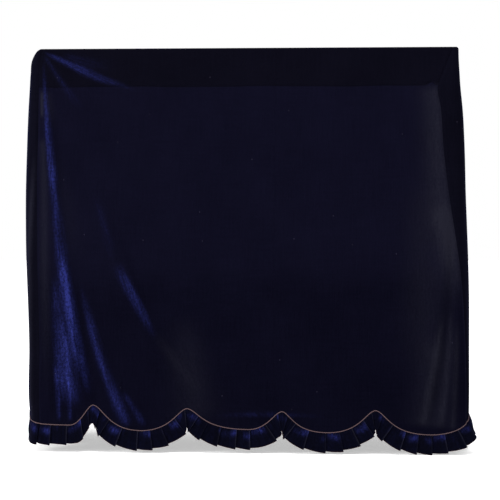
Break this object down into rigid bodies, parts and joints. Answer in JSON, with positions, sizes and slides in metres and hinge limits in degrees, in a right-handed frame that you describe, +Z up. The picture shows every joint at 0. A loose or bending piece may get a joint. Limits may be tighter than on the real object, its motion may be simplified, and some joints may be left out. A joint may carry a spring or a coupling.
{
  "type": "piano cover",
  "caption": "Fitted velvet cover in the shape in which it hangs, open underneath, with a scalloped lower seam, cord piping and a pleated frill.",
  "frame": {"origin": "middle of the top panel's flat underside, where the piano's lid holds the cover", "axes": "+X to the viewer's right along the cover's width, +Y to its back, +Z up; the front faces -Y"},
  "size_m": [1.5345, 0.6697, 1.3697],
  "materials": {
    "velvet": "navy velvet with a blue sheen on its folds",
    "frill_velvet": "navy velvet, knife pleated",
    "cord": "tan-brown cord"
  },
  "bodies": {
    "root": {"top_panel": "velvet", "front_panel": "velvet", "left_side_panel": "velvet", "right_side_panel": "velvet", "back_panel": "velvet", "front_frill": "frill_velvet", "left_frill": "frill_velvet", "right_frill": "frill_velvet", "front_piping": "cord", "left_piping": "cord", "right_piping": "cord"}
  },
  "joints": []
}
